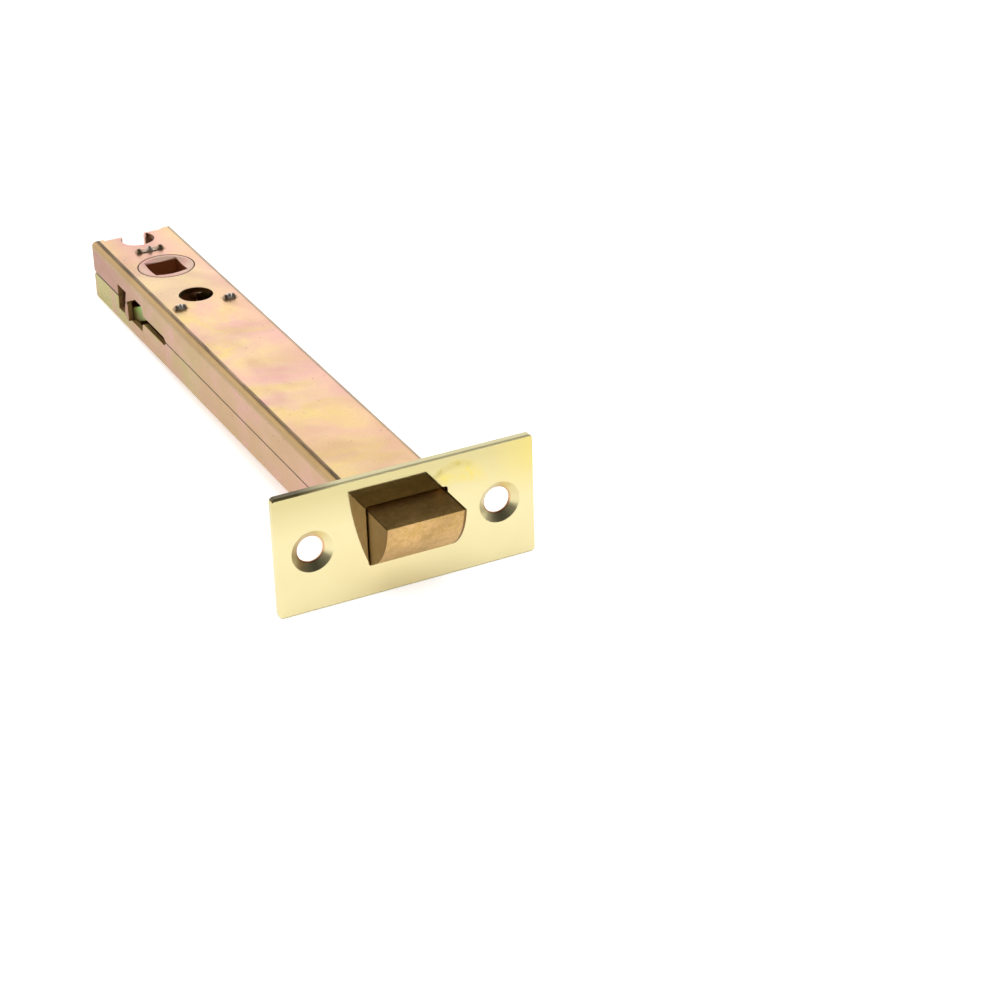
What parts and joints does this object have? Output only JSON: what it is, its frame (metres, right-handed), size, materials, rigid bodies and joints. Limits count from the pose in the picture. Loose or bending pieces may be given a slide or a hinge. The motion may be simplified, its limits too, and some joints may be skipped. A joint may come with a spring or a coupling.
{
  "type": "tubular door latch",
  "caption": "Long sprung mortice latch: pressed case, brass faceplate, bevelled bolt and a square-holed follower that draws the bolt back.",
  "frame": {"origin": "centre of the faceplate's back face, midway between the two screw holes", "axes": "+X across the door's thickness along the faceplate, +Y into the door along the case, +Z along the spindle, away from the bevelled side of the bolt"},
  "size_m": [0.0574, 0.1648, 0.027],
  "materials": {
    "polished_brass": "mirror polished, pale",
    "yellow_zinc_upper": "yellow passivated zinc plate, satin, iridescent",
    "yellow_zinc_lower": "yellow passivated zinc plate, satin, iridescent",
    "sintered_bronze": "matte sintered bronze",
    "sintered_steel": "yellow passivated, satin",
    "green_zinc": "green passivated zinc plate",
    "bright_steel": "bright zinc plate",
    "turned_steel": "turned, plain",
    "pin_steel": "dark, oiled",
    "spring_wire": "drawn spring wire"
  },
  "bodies": {
    "case": {"faceplate": "polished_brass", "case_upper": "yellow_zinc_upper", "case_lower": "yellow_zinc_lower", "abutment_plate": "bright_steel", "rear_spacer": "bright_steel", "return_spring": "spring_wire", "bolt_spring": "spring_wire"},
    "follower": {"follower": "sintered_steel"},
    "yoke": {"yoke": "green_zinc"},
    "bolt": {"latch_bolt": "sintered_bronze", "tail_rod": "turned_steel", "tail_pin": "pin_steel", "spring_collar": "turned_steel", "collar_clip": "pin_steel"}
  },
  "joints": [
    {"name": "follower_turn", "type": "hinge", "parent": "case", "child": "follower", "pos_m": [0, 0.1305, 0], "axis": [0, 0, 1], "range_deg": [0, 68]},
    {"name": "yoke_slide", "type": "slide", "parent": "case", "child": "yoke", "axis": [0, 1, 0], "range_m": [0, 0.009], "stiffness_N_per_m": 1200, "springref_m": -0.008, "deforming": ["return_spring", "bolt_spring"]},
    {"name": "bolt_push", "type": "slide", "parent": "yoke", "child": "bolt", "axis": [0, 1, 0], "range_m": [0, 0.009], "stiffness_N_per_m": 600, "springref_m": -0.008, "deforming": ["bolt_spring"]}
  ],
  "couplings": [
    {"joint": "follower_turn", "follows": "yoke_slide", "rad_per_m": 131.82}
  ]
}
